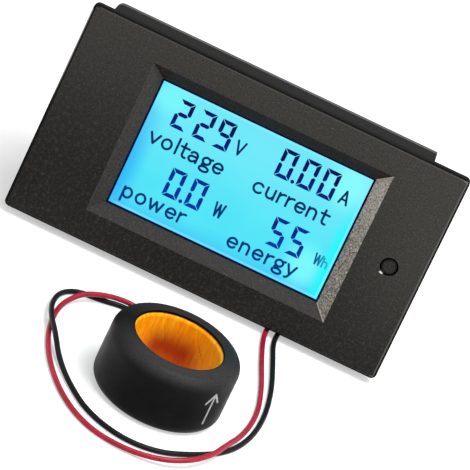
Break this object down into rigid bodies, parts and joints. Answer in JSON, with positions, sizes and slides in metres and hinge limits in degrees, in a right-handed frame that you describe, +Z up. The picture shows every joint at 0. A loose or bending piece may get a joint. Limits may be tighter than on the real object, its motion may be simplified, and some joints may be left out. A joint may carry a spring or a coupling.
{
  "type": "digital voltmeter ammeter",
  "caption": "Backlit panel meter with a bevelled display window, a push button, snap tabs and rear screw terminals, wired by two thin leads to a ring current transformer.",
  "frame": {"origin": "on the table, under the middle of the box round the meter and the ring", "axes": "+Z up from the table, +X to the right along the panel's long side, +Y from the ring towards the meter; the meter leans back 12 degrees"},
  "size_m": [0.09, 0.1046, 0.0506],
  "materials": {
    "case_plastic": "fine moulded grain",
    "cover_plastic": "fine moulded grain",
    "label_film": "bare printed film",
    "screw_steel": "zinc plated",
    "film": "polarising film over the lit display",
    "lcd_glass": "polished",
    "tinned_metal": "tin plated",
    "diffuser_film": "frosted",
    "clear_acrylic": "polished, edge lit",
    "reflector_film": "white",
    "led_body": "moulded",
    "white_plastic": "moulded",
    "board_laminate": "solder resist",
    "button_plastic": "textured",
    "switch_plastic": "moulded",
    "spring_metal": "bare",
    "terminal_plastic": "moulded",
    "capacitor_case": "moulded",
    "capacitor_sleeve": "shrink sleeve",
    "varistor_coating": "dipped",
    "resistor_coating": "dipped",
    "chip_resin": "moulded",
    "crystal_can": "drawn can",
    "jacket_plastic": "smooth moulded",
    "orange_tape": "wrapped polyester tape",
    "enamelled_copper": "enamelled wire",
    "core_strip": "wound strip",
    "red_insulation": "smooth extruded",
    "black_insulation": "smooth extruded",
    "clamp_metal": "plated"
  },
  "bodies": {
    "housing": {"backlight_leds": "led_body", "bulk_capacitor": "capacitor_sleeve", "controller_chip": "chip_resin", "cover_screws": "screw_steel", "crystal": "crystal_can", "ct_core": "core_strip", "ct_grommet": "jacket_plastic", "ct_jacket": "jacket_plastic", "ct_tape_wrap": "orange_tape", "ct_winding": "enamelled_copper", "film_capacitor": "capacitor_case", "front_case": "case_plastic", "fuse_resistor": "resistor_coating", "lcd_front_film": "film", "lcd_glass": "lcd_glass", "lcd_holder": "white_plastic", "lcd_pins": "tinned_metal", "lcd_rear_film": "film", "lead_black": "black_insulation", "lead_red": "red_insulation", "lead_tip_black": "tinned_metal", "lead_tip_red": "tinned_metal", "light_diffuser": "diffuser_film", "light_guide": "clear_acrylic", "light_reflector": "reflector_film", "main_board": "board_laminate", "memory_chip": "chip_resin", "metering_chip": "chip_resin", "rear_cover": "cover_plastic", "rear_label": "label_film", "rectifier_diodes": "chip_resin", "resistors": "chip_resin", "switch_body": "switch_plastic", "switch_dome": "spring_metal", "switch_legs": "tinned_metal", "terminal_body": "terminal_plastic", "terminal_strips": "tinned_metal", "varistor": "varistor_coating"},
    "button": {"button_cap": "button_plastic", "switch_plunger": "switch_plastic"},
    "left_tab": {"panel_clip_left": "case_plastic"},
    "right_tab": {"panel_clip_right": "case_plastic"},
    "screw_1": {"terminal_screw_1": "screw_steel"},
    "clamp_1": {"terminal_clamp_1": "clamp_metal"},
    "screw_2": {"terminal_screw_2": "screw_steel"},
    "clamp_2": {"terminal_clamp_2": "clamp_metal"},
    "screw_3": {"terminal_screw_3": "screw_steel"},
    "clamp_3": {"terminal_clamp_3": "clamp_metal"},
    "screw_4": {"terminal_screw_4": "screw_steel"},
    "clamp_4": {"terminal_clamp_4": "clamp_metal"}
  },
  "joints": [
    {"name": "button_press", "type": "slide", "parent": "housing", "child": "button", "axis": [0, 0.9782, -0.2077], "range_m": [0, 0.00035], "stiffness_N_per_m": 3000},
    {"name": "left_tab_flex", "type": "hinge", "parent": "housing", "child": "left_tab", "pos_m": [-0.0413, 0.02672, 0.02417], "axis": [0, 0.2077, 0.9782], "range_deg": [0, 8], "stiffness_Nm_per_rad": 0.15},
    {"name": "right_tab_flex", "type": "hinge", "parent": "housing", "child": "right_tab", "pos_m": [0.0413, 0.02672, 0.02417], "axis": [0, -0.2077, -0.9782], "range_deg": [0, 8], "stiffness_Nm_per_rad": 0.15},
    {"name": "screw_turn_1", "type": "hinge", "parent": "housing", "child": "screw_1", "pos_m": [0.0309, 0.03315, 0.01112], "axis": [0, 0.9782, -0.2077], "range_deg": [0, 1441]},
    {"name": "clamp_lift_1", "type": "slide", "parent": "housing", "child": "clamp_1", "axis": [0, 0.9782, -0.2077], "range_m": [-0.0018, 0]},
    {"name": "screw_turn_2", "type": "hinge", "parent": "housing", "child": "screw_2", "pos_m": [0.0309, 0.03473, 0.01857], "axis": [0, 0.9782, -0.2077], "range_deg": [0, 1441]},
    {"name": "clamp_lift_2", "type": "slide", "parent": "housing", "child": "clamp_2", "axis": [0, 0.9782, -0.2077], "range_m": [-0.0018, 0]},
    {"name": "screw_turn_3", "type": "hinge", "parent": "housing", "child": "screw_3", "pos_m": [0.0309, 0.03632, 0.02602], "axis": [0, 0.9782, -0.2077], "range_deg": [-1441, 0]},
    {"name": "clamp_lift_3", "type": "slide", "parent": "housing", "child": "clamp_3", "axis": [0, 0.9782, -0.2077], "range_m": [0, 0.0018]},
    {"name": "screw_turn_4", "type": "hinge", "parent": "housing", "child": "screw_4", "pos_m": [0.0309, 0.0379, 0.03348], "axis": [0, 0.9782, -0.2077], "range_deg": [-1441, 0]},
    {"name": "clamp_lift_4", "type": "slide", "parent": "housing", "child": "clamp_4", "axis": [0, 0.9782, -0.2077], "range_m": [0, 0.0018]}
  ],
  "couplings": [
    {"joint": "screw_turn_1", "follows": "clamp_lift_1", "rad_per_m": -13963},
    {"joint": "screw_turn_2", "follows": "clamp_lift_2", "rad_per_m": -13963},
    {"joint": "screw_turn_3", "follows": "clamp_lift_3", "rad_per_m": -13963},
    {"joint": "screw_turn_4", "follows": "clamp_lift_4", "rad_per_m": -13963}
  ]
}
